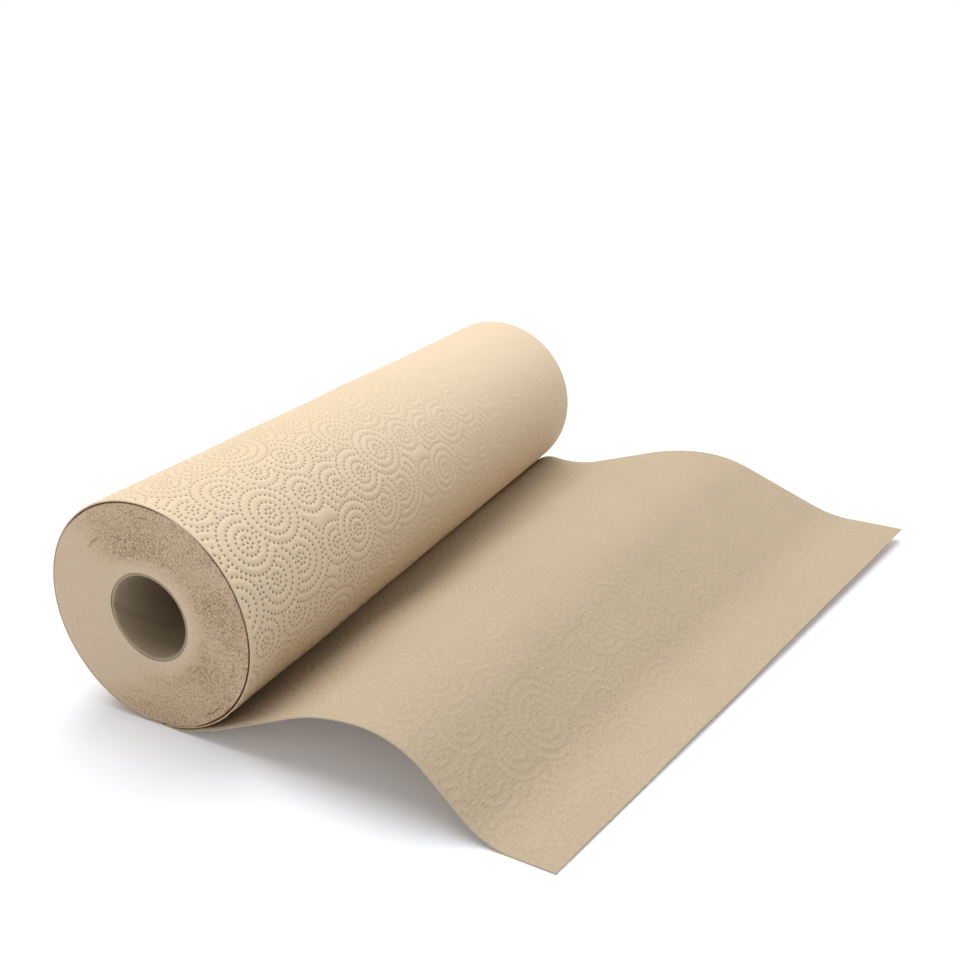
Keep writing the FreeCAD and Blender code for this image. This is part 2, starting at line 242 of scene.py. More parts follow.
class Value:
    """An output socket, so that shader maths is written as Python expressions."""

    def __init__(self, finish, socket):
        self.finish = finish
        self.socket = socket

    def maths(self, operation, *operands):
        """One Math node on values or numbers."""
        return self.finish.node("ShaderNodeMath", dict(operation=operation),
                                dict(enumerate(operands)))

    def __add__(self, other):
        return self.maths("ADD", self, other)

    def __radd__(self, other):
        return self.maths("ADD", other, self)

    def __sub__(self, other):
        return self.maths("SUBTRACT", self, other)

    def __rsub__(self, other):
        return self.maths("SUBTRACT", other, self)

    def __mul__(self, other):
        return self.maths("MULTIPLY", self, other)

    def __rmul__(self, other):
        return self.maths("MULTIPLY", other, self)

    def __truediv__(self, other):
        return self.maths("DIVIDE", self, other)

    def __pow__(self, other):
        return self.maths("POWER", self, other)

    def above(self, low, high):
        """0 below low, 1 above high and smooth between."""
        return self.finish.node("ShaderNodeMapRange", dict(interpolation_type="SMOOTHSTEP"),
                                {"Value": self, "From Min": low, "From Max": high})


def shade(colour, times=1.0):
    """A colour socket's value, made darker or lighter."""
    return (*(times * channel for channel in colour), 1.0)


class Finish:
    """A procedural material and the nodes that make it."""

    def __init__(self, name, group=None):
        group = bpy.data.materials if group is None else group
        self.material = group.new(name)
        self.material.use_nodes = True
        self.tree = self.material.node_tree
        self.tree.nodes.clear()

    def node(self, kind, settings=None, inputs=None, output=0):
        """Adds a node, with its settings first and then its sockets' values or links."""
        made = self.tree.nodes.new(kind)
        for name, value in (settings or {}).items():
            setattr(made, name, value)
        for name, value in (inputs or {}).items():
            socket = made.inputs[name]
            if isinstance(value, Value):
                self.tree.links.new(value.socket, socket)
            else:
                socket.default_value = value
        return Value(self, made.outputs[output]) if made.outputs else None

    def place(self):
        """The point on the object, in metres."""
        return self.node("ShaderNodeTexCoord", output="Object")

    def noise(self, where, scale, detail=2.0, roughness=0.5):
        """Random values from 0 to 1, finer with a larger scale."""
        return self.node("ShaderNodeTexNoise", None,
                         {"Vector": where, "Scale": scale, "Detail": detail,
                          "Roughness": roughness})

    def attribute(self, name):
        """A number that the mesh carries at its points."""
        return self.node("ShaderNodeAttribute", dict(attribute_name=name), output="Fac")

    def mix(self, factor, first, second):
        """Blends two colours."""
        return self.node("ShaderNodeMix", dict(data_type="RGBA"),
                         {0: factor, 6: first, 7: second}, output=2)

    def shades(self, tone, colour, darkest, lightest):
        """A colour that goes from a darker to a lighter shade of itself."""
        return self.mix(tone, shade(colour, darkest), shade(colour, lightest))

    def stretched(self, where, factors):
        """Places scaled along each axis, so that noise on them is drawn out."""
        return self.node("ShaderNodeVectorMath", dict(operation="MULTIPLY"),
                         {0: where, 1: factors})

    def bump(self, height, distance, strength=1.0):
        """Fine relief for the Normal socket, its distance in metres."""
        return self.node("ShaderNodeBump", None,
                         {"Height": height, "Distance": distance, "Strength": strength})

    def surface(self, **sockets):
        """Ends the material with a Principled shader."""
        inputs = {name.replace("_", " "): value for name, value in sockets.items()}
        shader = self.node("ShaderNodeBsdfPrincipled", None, inputs)
        self.node("ShaderNodeOutputMaterial", None, {"Surface": shader})
        return self.material

    def seen(self):
        """1 for rays from the camera, off a mirror or through glass, else 0."""
        kinds = ("Is Camera Ray", "Is Glossy Ray", "Is Transmission Ray")
        camera, glossy, through = (self.node("ShaderNodeLightPath", output=k) for k in kinds)
        return camera + glossy + through


def make_tissue():
    """Soft unbleached tissue: fine fibres, flecks, pits darkened by their own tint and by painted
    shade, and a darker, greyer inside face.
    """
    finish = Finish("tissue")
    place = finish.place()
    inside = finish.attribute("inside")
    stretched = finish.stretched(place, (1.0, 0.35, 1.0))
    cloud = finish.noise(place, scale=35)
    fibre = finish.noise(stretched, scale=2600, detail=4, roughness=0.65)
    crepe = finish.noise(stretched, scale=1500, detail=3, roughness=0.65)
    fleck = finish.noise(place, scale=900, detail=1).above(0.735, 0.80)
    tone = (fibre - 0.5) * 0.45 + (cloud - 0.5) * 0.3 + 0.5
    outer = finish.shades(tone, PAPER, 0.92, 1.07)
    inner = finish.shades(tone + (crepe - 0.5) * 1.1, PAPER_INSIDE, 0.85, 1.13)
    colour = finish.mix(inside, outer, inner)
    colour = finish.mix(fleck * 0.4, colour, shade(PAPER_FLECK))
    # Pits, slits and turned-in cut edges get darker: partly the dots' own tint, partly painted
    # shade in the hollows.
    colour = finish.mix(finish.attribute("pit"), colour, shade(PAPER_PIT_TINT_AND_SHADE))
    return finish.surface(
        Base_Color=colour, Roughness=0.85, Specular_IOR_Level=0.3,
        Normal=finish.bump(crepe * (inside * 0.25 + 0.25), distance=0.0008))


def make_cut_paper():
    """Cut edges of the turns: crushed and pitted in places, smoother by the core, with painted
    shade in holes, cracks and the gap.
    """
    finish = Finish("cut paper")
    place = finish.place()
    rough = finish.attribute("rough")
    hole = finish.attribute("hole")
    across = finish.node("ShaderNodeSeparateXYZ", None, {0: place}, output="X")
    up = finish.node("ShaderNodeSeparateXYZ", None, {0: place}, output="Z")
    radius = (across * across + up * up) ** 0.5
    # A point's place on a small ring, and its radius: noise on these runs round the axis.
    round_place = finish.node("ShaderNodeCombineXYZ", None,
                              {"X": across / radius * NOISE_RING,
                               "Y": up / radius * NOISE_RING, "Z": radius})
    turns = finish.noise(round_place, scale=1900, detail=3, roughness=0.6)
    torn = finish.noise(place, scale=1500, detail=4, roughness=0.7)
    specks = torn.above(0.56, 0.64) * turns.above(0.36, 0.56)
    colour = finish.mix(rough, finish.shades(turns, CUT_PAPER_SMOOTH, 0.94, 1.06),
                        finish.shades(torn.above(0.42, 0.58), CUT_PAPER, 1.22, 0.77))
    colour = finish.mix(specks * (rough * 0.55 + 0.12), colour, shade(CUT_PAPER_SPECK_AND_HOLE_SHADE))
    # Painted shade in the holes and cracks.
    colour = finish.mix(hole, colour, shade(CUT_PAPER_SPECK_AND_HOLE_SHADE))
    # Painted shade down in the gap under the last turn.
    colour = finish.mix(finish.attribute("gap"), colour, shade(GAP_SHADE))
    height = turns * 0.4 + torn * (rough + 0.2)
    return finish.surface(
        Base_Color=colour, Roughness=0.95, Specular_IOR_Level=0.15,
        Normal=finish.bump(height, distance=0.0008))


def make_board():
    """Grey-brown core board with long fibres."""
    finish = Finish("core board")
    place = finish.place()
    stretched = finish.stretched(place, (1.0, 0.3, 1.0))
    fibre = finish.noise(stretched, scale=1400, detail=4, roughness=0.65)
    cloud = finish.noise(place, scale=60)
    tone = (fibre - 0.5) * 0.7 + (cloud - 0.5) * 0.5 + 0.5
    colour = finish.shades(tone, BOARD, 0.82, 1.16)
    colour = finish.mix(finish.attribute("seam") * 0.35, colour, shade(BOARD_SEAM))
    return finish.surface(
        Base_Color=colour, Roughness=0.85, Specular_IOR_Level=0.25,
        Normal=finish.bump(fibre, distance=0.0002, strength=0.6))


def make_floor_finish():
    """Plain white that keeps shadows, lifted a little where the camera sees it."""
    finish = Finish("floor")
    diffuse = finish.node("ShaderNodeBsdfDiffuse", None, {"Color": shade(FLOOR)})
    glow = finish.node("ShaderNodeEmission", None,
                       {"Color": shade(WHITE), "Strength": finish.seen() * FLOOR_GLOW})
    both = finish.node("ShaderNodeAddShader", None, {0: diffuse, 1: glow})
    finish.node("ShaderNodeOutputMaterial", None, {"Surface": both})
    return finish.material


def make_world(strength):
    """An even white studio around the object."""
    studio = Finish("studio", bpy.data.worlds)
    sky, white = (studio.node("ShaderNodeBackground", None,
                              {"Color": shade(WHITE), "Strength": level})
                  for level in (strength, 1.0))
    both = studio.node("ShaderNodeMixShader", None, {0: studio.seen(), 1: sky, 2: white})
    studio.node("ShaderNodeOutputWorld", None, {"Surface": both})
    return studio.material


# Meshes

def make_piece(name, points, faces, finish, **attributes):
    """A smooth mesh object from points in millimetres."""
    mesh = bpy.data.meshes.new(name)
    mesh.from_pydata((np.asarray(points) * MM).tolist(), [], [list(f) for f in faces])
    mesh.shade_smooth()
    mesh.set_sharp_from_angle(angle=math.radians(SHARP_ANGLE))
    for label, values in attributes.items():
        layer = mesh.attributes.new(label, "FLOAT", "POINT")
        layer.data.foreach_set("value", np.asarray(values, np.float32))
    mesh.materials.append(finish)
    piece = bpy.data.objects.new(name, mesh)
    bpy.context.scene.collection.objects.link(piece)
    return piece


def wrapped(difference, period):
    """The shortest difference on a tile that repeats."""
    return (difference + period / 2) % period - period / 2


def spread(first, second):
    """Distances between two sets of points on the repeating tile."""
    along = wrapped(first[:, None, 0] - second[None, :, 0], TILE_LENGTH)
    across = wrapped(first[:, None, 1] - second[None, :, 1], TILE_WIDTH)
    return np.hypot(along, across)


def ring_points(centre, radius, pitch, phase):
    """Points evenly round a ring."""
    count = max(1, round(2 * math.pi * radius / pitch))
    angles = phase + 2 * math.pi * np.arange(count) / count
    return centre + radius * np.column_stack([np.cos(angles), np.sin(angles)])


def lay_pattern():
    """Rosettes of dotted rings that cover one another, as dots and raised points."""
    rng = np.random.default_rng(PATTERN_SEED)
    tile = (TILE_LENGTH, TILE_WIDTH)
    centres, rings = [], []
    for row in range(TILE_ROWS):
        for column in range(TILE_COLUMNS):
            along = row + 0.5 + rng.uniform(-CENTRE_JITTER, CENTRE_JITTER)
            across = column + 0.5 * (row % 2) + rng.uniform(-CENTRE_JITTER, CENTRE_JITTER)
            centres.append((along * TILE_LENGTH / TILE_ROWS,
                            across * TILE_WIDTH / TILE_COLUMNS))
            rings.append(int(rng.integers(FEWEST_RINGS, len(RING_RADII))))
    order = rng.permutation(len(centres))
    centres, rings = np.array(centres)[order], np.array(rings)[order]
    reach = np.array([RING_RADII[n] for n in rings])

    dots, raised = [], []
    for index, (centre, count) in enumerate(zip(centres, rings)):
        own_dots = [ring_points(centre, RING_RADII[n], DOT_PITCH, rng.uniform(*PHASES))
                    for n in range(count + 1)]
        own_raised = [ring_points(centre, (RING_RADII[n] + RING_RADII[n + 1]) / 2,
                                  BAND_PITCH, rng.uniform(*PHASES))
                      for n in range(1, count)]
        for found, margin, kept in ((own_dots, DOT_MARGIN, dots),
                                    (own_raised, BAND_MARGIN, raised)):
            found = np.concatenate(found)
            covered = spread(found, centres[index + 1:]) < reach[index + 1:] + margin
            kept.append(found[~covered.any(axis=1)])
    dots, raised = np.concatenate(dots) % tile, np.concatenate(raised) % tile

    # Where two rosettes leave a wide space, raised points fill it.
    grid = np.stack(np.meshgrid(*(np.arange(0, side, FILL_PITCH) for side in tile)), -1)
    grid = grid.reshape(-1, 2)
    grid += rng.uniform(-FILL_JITTER, FILL_JITTER, grid.shape)
    for point in grid[:, None]:
        if (spread(point, dots).min() > FILL_TO_DOT
                and spread(point, raised).min() > FILL_TO_BAND):
            raised = np.concatenate([raised, point % tile])
    raised = raised[spread(raised, dots).min(axis=1) > BAND_TO_DOT]
    rims = np.array([ring_points(dot, PIT_RADIUS, 2 * math.pi * PIT_RADIUS / PIT_SIDES,
                                 rng.uniform(*PHASES)) for dot in dots])
    return dots, raised, rims


def lay_slits(along):
    """Points of a row of slits across the sheet: their floors and both their sides."""
    across = np.arange(SLIT_INSET, SHEET_WIDTH - SLIT_INSET / 2, SLIT_LENGTH / 4)
    on_tie = across % (SLIT_LENGTH + SLIT_TIE) < SLIT_TIE
    middle = np.column_stack([np.full(len(across), along), across])
    level = [middle[on_tie], middle - (SLIT_SIDE, 0), middle + (SLIT_SIDE, 0)]
    return middle[~on_tie], np.concatenate(level)


def triangulate(flat, outline_count):
    """Triangles between flat points, inside the outline that the first of them make."""
    places = [Vector(point) for point in flat.tolist()]
    _, _, triangles, came_from, _, _ = geometry.delaunay_2d_cdt(
        places, [], [list(range(outline_count))], KEEP_INSIDE, SAME_POINT)
    return np.array([[came_from[n][0] for n in triangle] for triangle in triangles])


def emboss(pattern, start, corners, slits=None):
    """Flat embossed paper inside straight edges: points (along, across, height) and triangles.

    The corners run anticlockwise. Heights go from -1 in a pit to 1 on a raised band.
    """
    dots, raised, rims = pattern
    corners = np.array(corners, float)
    sides = np.roll(corners, -1, axis=0) - corners
    lengths = np.linalg.norm(sides, axis=1)
    inward = np.column_stack([-sides[:, 1], sides[:, 0]]) / lengths[:, None]

    def room(points):
        """Distance of each point from the nearest edge, negative outside."""
        return ((points[:, None] - corners[None]) * inward[None]).sum(axis=2).min(axis=1)

    first = math.floor(start / TILE_LENGTH)
    last = math.ceil((start + corners[:, 0].max()) / TILE_LENGTH)
    laid_dots, laid_rims, laid_raised = [], [], []
    for row in range(first, last):
        for column in range(round(SHEET_WIDTH / TILE_WIDTH)):
            move = (row * TILE_LENGTH - start, column * TILE_WIDTH)
            whole = room(dots + move) > EDGE_ROOM + PIT_RADIUS
            high = room(raised + move) > EDGE_ROOM
            if slits is not None:
                whole &= abs(dots[:, 0] + move[0] - slits) > 2 * SLIT_SIDE + PIT_RADIUS
                high &= abs(raised[:, 0] + move[0] - slits) > 2 * SLIT_SIDE
            laid_dots.append(dots[whole] + move)
            laid_rims.append((rims[whole] + move).reshape(-1, 2))
            laid_raised.append(raised[high] + move)
    if slits is not None:
        floors, level = lay_slits(slits)
        laid_dots.append(floors)
        laid_rims.append(level)
    outline = []
    for corner, side, length in zip(corners, sides, lengths):
        steps = math.ceil(length / OUTLINE_STEP)
        outline.append(corner + side * (np.arange(steps) / steps)[:, None])
    outline = np.concatenate(outline)
    groups = [outline, np.concatenate(laid_dots), np.concatenate(laid_rims),
              np.concatenate(laid_raised)]
    flat = np.concatenate(groups)
    height = np.repeat([0.0, -1.0, 0.0, 1.0], [len(group) for group in groups])
    triangles = triangulate(flat, len(outline))
    return np.column_stack([flat, height]), triangles, len(outline)


def ripple(places, size, seed, count=7):
    """Gentle random waves of about that size, between -1 and 1."""
    rng = np.random.default_rng(seed)
    total = np.zeros(len(places))
    for _ in range(count):
        direction = rng.normal(size=places.shape[1])
        direction *= 2 * math.pi / (size * rng.uniform(*WAVE_SIZES) * np.linalg.norm(direction))
        total += np.sin(places @ direction + rng.uniform(*WAVE_PHASES))
    return total / math.sqrt(count)


# The last turn

def turn_place(along):
    """Place and outward direction on the last turn, that far along it from the nip."""
    right = along < RIGHT_ARC
    level = along > RIGHT_ARC + LEFT_ARC
    angle = np.where(right, NIP_ANGLE + along / RIGHT_RADIUS,
                     math.pi / 2 + (along - RIGHT_ARC) / LEFT_RADIUS)
    radius = np.where(right, RIGHT_RADIUS, LEFT_RADIUS)
    x = radius * np.cos(angle)
    z = radius * np.sin(angle) - np.where(right, 0, LEFT_DROP)
    out_x, out_z = np.cos(angle), np.sin(angle)
    x = np.where(level, along - TURN_LENGTH, x)
    z = np.maximum(np.where(level, FLOOR_Z, z), FLOOR_Z)
    out_x, out_z = np.where(level, 0, out_x), np.where(level, -1, out_z)
    return np.column_stack([x, z]), np.column_stack([out_x, out_z])


def relief(height, pit_depth, puff_height):
    """Height in millimetres from the pattern's -1 to 1."""
    return np.where(height < 0, height * pit_depth, height * puff_height)


def turn_in_edges(points, faces, height, pit):
    """Adds the sheet's cut edges: down by its thickness, and a little way in under it."""
    new_points, new_faces, new_heights, new_pits = [points], [faces], [height], [pit]
    total = len(points)
    for edge, inward in ((0, 1), (SHEET_WIDTH, -1)):
        row = np.nonzero(points[:, 1] == edge)[0]
        row = row[np.argsort(points[row, 0])]
        # The turned-in edges sit in the gap under the last turn and get painted shade there.
        for depth, painted_shade in CUT_EDGE:
            lower = points[row].copy()
            lower[:, 1] = edge + inward * depth
            new_points.append(lower)
            new_heights.append(np.full(len(row), -SHEET_THICKNESS))
            new_pits.append(np.full(len(row), painted_shade))
        rows = [row, total + np.arange(len(row)), total + len(row) + np.arange(len(row))]
        for upper, lower in zip(rows, rows[1:]):
            quads = np.column_stack([upper[:-1], lower[:-1], lower[1:], upper[1:]])
            quads = quads if inward > 0 else quads[:, ::-1]
            new_faces.append(quads[:, [0, 1, 2]])
            new_faces.append(quads[:, [0, 2, 3]])
        total += 2 * len(row)
    return (np.concatenate(new_points), np.concatenate(new_faces),
            np.concatenate(new_heights), np.concatenate(new_pits))


def make_last_turn(pattern, finish):
    """Embossed outside of the roll, with its cut edges turned in as the sheet's thickness."""
    slits = TURN_LENGTH + Tail().near_length - SHEET_LENGTH
    points, faces, _ = emboss(pattern, 0, [
        (0, 0), (TURN_LENGTH, 0), (TURN_LENGTH, SHEET_WIDTH), (0, SHEET_WIDTH)], slits)
    along, across = points[:, 0], points[:, 1]
    worn = np.interp(across, *ROLL_FADE)
    height = relief(points[:, 2], PIT_DEPTH, PUFF_HEIGHT) * worn
    wave_size, wave_seed, wave_height = ROLL_WAVES
    height += ripple(points[:, :2], wave_size, wave_seed) * wave_height
    # Near the end under the roll, the relief sinks until its highest point is flush.
    sinking = [TURN_LENGTH - SINK_START, TURN_LENGTH - SINK_END]
    height -= height.max() * np.interp(along, sinking, [0, 1])
    # The pits' darkening is partly their own tint and partly painted shade in the hollows. It
    # fades across the sheet.
    pit = np.clip(-points[:, 2], 0, 1) * PIT_SHADE * worn ** PIT_FADE
    # Slits are shallower, and their painted shade is lighter than the pits'.
    slit = abs(along - slits) < SLIT_SIDE
    height, pit = np.where(slit, (height * SLIT_DEPTH, pit * SLIT_SHADE), (height, pit))
    points, faces, height, pit = turn_in_edges(points, faces, height, pit)
    place, out = turn_place(points[:, 0])
    place = place + out * height[:, None]
    place[:, 1] = np.maximum(place[:, 1], FLOOR_Z)
    bent = np.column_stack([place[:, 0], points[:, 1] - HALF_LENGTH, place[:, 1]])
    return make_piece("last_turn", bent, faces[:, ::-1], finish, pit=pit,
                      inside=np.zeros(len(pit)))


# The loose tail: a sheet ruled between its two edges

def edge_moves(edge):
    """An edge of the tail as lines and arcs: first heading, last heading, radius or length."""
    half_flat = FLAT_WIDTH / 2
    start_heading = math.degrees(math.asin(half_flat / OUTER_RADIUS))
    moves = [(0, 0, half_flat), (start_heading, edge["peel"], OUTER_RADIUS),
             (edge["peel"], edge["dip"], edge["bump_radius"]),
             (edge["dip"], edge["rise"], edge["valley_radius"])]
    reached = follow(moves, 2)[-1]
    across = edge["crest_x"] - reached[0]
    up = edge["crest_height"] + FLOOR_Z - reached[1]
    rise = math.radians(edge["rise"])
    # The line up is as long as the arc after it needs, to end level at the crest.
    slope = (across * (1 - math.cos(rise)) - up * math.sin(rise)) / (
        math.cos(rise) * (1 - math.cos(rise)) - math.sin(rise) ** 2)
    moves.append((edge["rise"], edge["rise"], slope))
    moves.append((edge["rise"], 0, (across - slope * math.cos(rise)) / math.sin(rise)))
    fall = math.radians(edge["fall"])
    drop = edge["crest_height"] - edge["end_lift"]
    drop -= (edge["crest_radius"] + edge["landing_radius"]) * (1 - math.cos(fall))
    moves.append((0, -edge["fall"], edge["crest_radius"]))
    moves.append((-edge["fall"], -edge["fall"], drop / math.sin(fall)))
    moves.append((-edge["fall"], 0, edge["landing_radius"]))
    moves.append((0, 0, edge["end_x"] - follow(moves, 2)[-1][0]))
    return moves


def follow(moves, steps):
    """Points (x, z, length so far) along the moves, from under the roll's axis."""
    x, z, reached = 0.0, FLOOR_Z, 0.0
    points = [(x, z, reached)]
    for first, last, size in moves:
        first, last = math.radians(first), math.radians(last)
        turn = abs(last - first)
        for step in range(1, steps + 1):
            if turn:
                heading = first + (last - first) * (step - 0.5) / steps
                chord = 2 * size * math.sin(turn / steps / 2)
                advance = size * turn / steps
            else:
                heading, chord, advance = first, size / steps, size / steps
            x += chord * math.cos(heading)
            z += chord * math.sin(heading)
            reached += advance
            points.append((x, z, reached))
    return np.array(points)


class Tail:
    """Surface of the tail's underside, by distance along the sheet and across it."""

    def __init__(self):
        near = follow(edge_moves(NEAR_EDGE), EDGE_STEPS)
        far = follow(edge_moves(FAR_EDGE), EDGE_STEPS)
        self.near_length, self.far_length = near[-1, 2], far[-1, 2]
        self.edges = []
        for points, edge, side in ((near, NEAR_EDGE, -1), (far, FAR_EDGE, 1)):
            skew = math.radians(edge["skew"])
            self.edges.append(np.column_stack([
                points[:, 0] * math.cos(skew),
                side * HALF_LENGTH - points[:, 0] * math.sin(skew), points[:, 1]]))
        self.share = np.linspace(0, 1, TABLE_ROWS)
        self.distance = np.arange(0, max(self.near_length, self.far_length) + 1, TABLE_STEP)
        numbers = np.arange(len(near))
        self.table = np.array([
            np.interp(self.distance, (1 - share) * near[:, 2] + share * far[:, 2], numbers)
            for share in self.share])

    def length(self, across):
        """Length of the tail that far across the sheet."""
        share = across / SHEET_WIDTH
        return self.near_length + share * (self.far_length - self.near_length)

    def place(self, along, across):
        """Place between the two edges, from the table of matching places on them."""
        share = np.clip(across / SHEET_WIDTH, 0, 1)
        # Just short of the last row and column, so that each place has a next one.
        row = np.clip(share * (len(self.share) - 1), 0, len(self.share) - 1.001)
        column = np.clip(along / TABLE_STEP, 0, len(self.distance) - 1.001)
        low_row, low_column = row.astype(int), column.astype(int)
        part_row, part_column = row - low_row, column - low_column
        number = ((1 - part_row) * ((1 - part_column) * self.table[low_row, low_column]
                                    + part_column * self.table[low_row, low_column + 1])
                  + part_row * ((1 - part_column) * self.table[low_row + 1, low_column]
                                + part_column * self.table[low_row + 1, low_column + 1]))
        ends = []
        for edge in self.edges:
            numbers = np.arange(len(edge))
            ends.append(np.column_stack([np.interp(number, numbers, edge[:, n])
                                         for n in range(3)]))
        return ends[0] * (1 - share[:, None]) + ends[1] * share[:, None]

    def place_and_up(self, along, across):
        """Place on the underside and the direction through the sheet, upwards."""
        here = self.place(along, across)
        ahead = (self.place(along + SLOPE_STEP, across)
                 - self.place(along - SLOPE_STEP, across))
        beside = (self.place(along, np.minimum(across + SLOPE_STEP, SHEET_WIDTH))
                  - self.place(along, np.maximum(across - SLOPE_STEP, 0)))
        up = np.cross(ahead, beside)
        return here, up / np.linalg.norm(up, axis=1)[:, None]


def make_tail(pattern, finish):
    """The tail as a thin closed sheet: fine relief above, a plainer face below."""
    tail = Tail()
    points, faces, edge_count = emboss(pattern, TURN_LENGTH, [
        (0, 0), (tail.near_length, 0), (tail.far_length, SHEET_WIDTH), (0, SHEET_WIDTH)])
    along, across = points[:, 0], points[:, 1]
    total = len(points)

    # The plain face below has the same outline, so its edge joins the face above.
    grid_share, grid_across = np.meshgrid(
        np.linspace(*UNDERSIDE_ENDS, UNDERSIDE_COLUMNS),
        np.linspace(UNDERSIDE_INSET, SHEET_WIDTH - UNDERSIDE_INSET, UNDERSIDE_ROWS),
        indexing="ij")
    grid_along = grid_share * tail.length(grid_across)
    outline = points[:edge_count, :2]
    lower = np.concatenate([outline, np.column_stack([grid_along.ravel(),
                                                      grid_across.ravel()])])
    below = triangulate(lower, edge_count) + total
    upper_edge = np.arange(edge_count)
    lower_edge = total + upper_edge
    next_upper, next_lower = np.roll(upper_edge, -1), np.roll(lower_edge, -1)
    rim = np.concatenate([np.column_stack([upper_edge, lower_edge, next_upper]),
                          np.column_stack([next_upper, lower_edge, next_lower])])
    every_face = np.concatenate([faces, below[:, ::-1], rim])

    all_along = np.concatenate([along, lower[:, 0]])
    all_across = np.concatenate([across, lower[:, 1]])
    # Waves start clear of the roll, and the relief is fainter there and at the end.
    free = np.clip((all_along - WAVE_START) / WAVE_GROWTH, 0, 1)
    wave_size, wave_seed, wave_height = TAIL_WAVES
    flat_places = np.column_stack([all_along, all_across])
    wave = ripple(flat_places, wave_size, wave_seed) * wave_height * free
    worn = np.interp(across, *TAIL_FADE) * np.clip(along / RELIEF_GROWTH, RELIEF_AT_ROLL, 1)
    worn = worn * np.clip((tail.length(across) - along) / RELIEF_END, RELIEF_AT_END, 1)
    upper = SHEET_THICKNESS - relief(points[:, 2], TAIL_BUMP, TAIL_DIP) * worn
    thickness = np.concatenate([upper, np.zeros(len(lower))])
    pit = np.concatenate([np.clip(-points[:, 2], 0, 1) * TAIL_PIT_SHADE * worn,
                          np.zeros(len(lower))])
    inside = np.repeat([1.0, 0.0], [len(points), len(lower)])
    place, up = tail.place_and_up(all_along, all_across)
    place = place + up * (wave + thickness)[:, None]
    place[:, 2] = np.maximum(place[:, 2], FLOOR_Z)
    return make_piece("tail_sheet", place, every_face, finish, pit=pit, inside=inside), tail


# The cut ends of the roll

def gap_at(angle):
    """Width of the gap under the last turn, by angle in degrees from -180 to 180."""
    widest = np.full_like(angle, TIGHT_GAP)
    for start, end, width in (SIDE_GAP, TOP_GAP):
        opening = (np.clip((angle - start) / GAP_ENDS, 0, 1)
                   * np.clip((end - angle) / GAP_ENDS, 0, 1))
        widest = np.maximum(widest, TIGHT_GAP + (width - TIGHT_GAP) * opening ** GAP_SWELL)
    return widest


def wound_radius(angle):
    """Outer radius of the roll at an angle, from the roll's axis."""
    sideways = LEFT_DROP * np.cos(angle)
    left = -LEFT_DROP * np.sin(angle) + np.sqrt(LEFT_RADIUS ** 2 - sideways ** 2)
    return np.where(abs(angle) <= math.pi / 2, RIGHT_RADIUS, left)


def turned_from(angle, other):
    """Angle between two directions, in degrees, from 0 to 180."""
    return abs((angle - other + 180) % 360 - 180)


def tear(radius, degrees, flat, seed):
    """A cut end's roughness, depth and painted shade of its holes and cracks: crushed, but smooth
    on one side and by the core.
    """
    patches = ripple(flat, PATCH_SIZE, seed + 1).reshape(radius.shape)
    smooth_side = np.clip(SMOOTH_REACH - turned_from(degrees, SMOOTH_SIDE) / SMOOTH_SPREAD, 0, 1)
    off_core = np.clip((radius - SMOOTH_RING) / SMOOTH_RING_FADE, ROUGH_BY_CORE, 1)
    rough = MEAN_ROUGH + PATCH_ROUGH * patches - smooth_side[None]
    rough = np.clip(rough, LEAST_ROUGH, 1) * off_core
    grain = np.random.default_rng(seed).normal(size=radius.shape)
    depth = GRAIN_DEPTH * rough * np.minimum(grain, HIGHEST_GRAIN) + PATCH_DEPTH * patches
    depth -= DISH_DEPTH * np.clip((DISH_RADIUS - radius) / DISH_WIDTH, 0, 1) ** 2
    # Holes where the grain dips deepest, darkened with painted shade.
    low_grain = np.clip((-grain - HOLE_GRAIN) / HOLE_GRAIN_RANGE, 0, 1)
    hole = HOLE_SHADE * low_grain * np.clip(HOLE_GAIN * rough, 0, 1)
    depth -= HOLE_DEPTH * hole
    for crack_angle, crack_radius, crack_length, crack_depth in CRACKS:
        round_off = np.radians(turned_from(degrees, crack_angle))[None] * crack_radius
        wander = CRACK_WANDER * np.sin(round_off * 2)
        crack = (np.exp(-((radius - crack_radius - wander) / CRACK_WIDTH) ** 2)
                 * np.exp(-(round_off / crack_length) ** 4))
        depth -= crack_depth * crack
        # Cracks get painted shade as well.
        hole = np.maximum(hole, CRACK_SHADE * crack_depth * crack)
    depth[-1] = np.minimum(depth[-1], 0) - RIM_DROP
    return rough, depth, hole


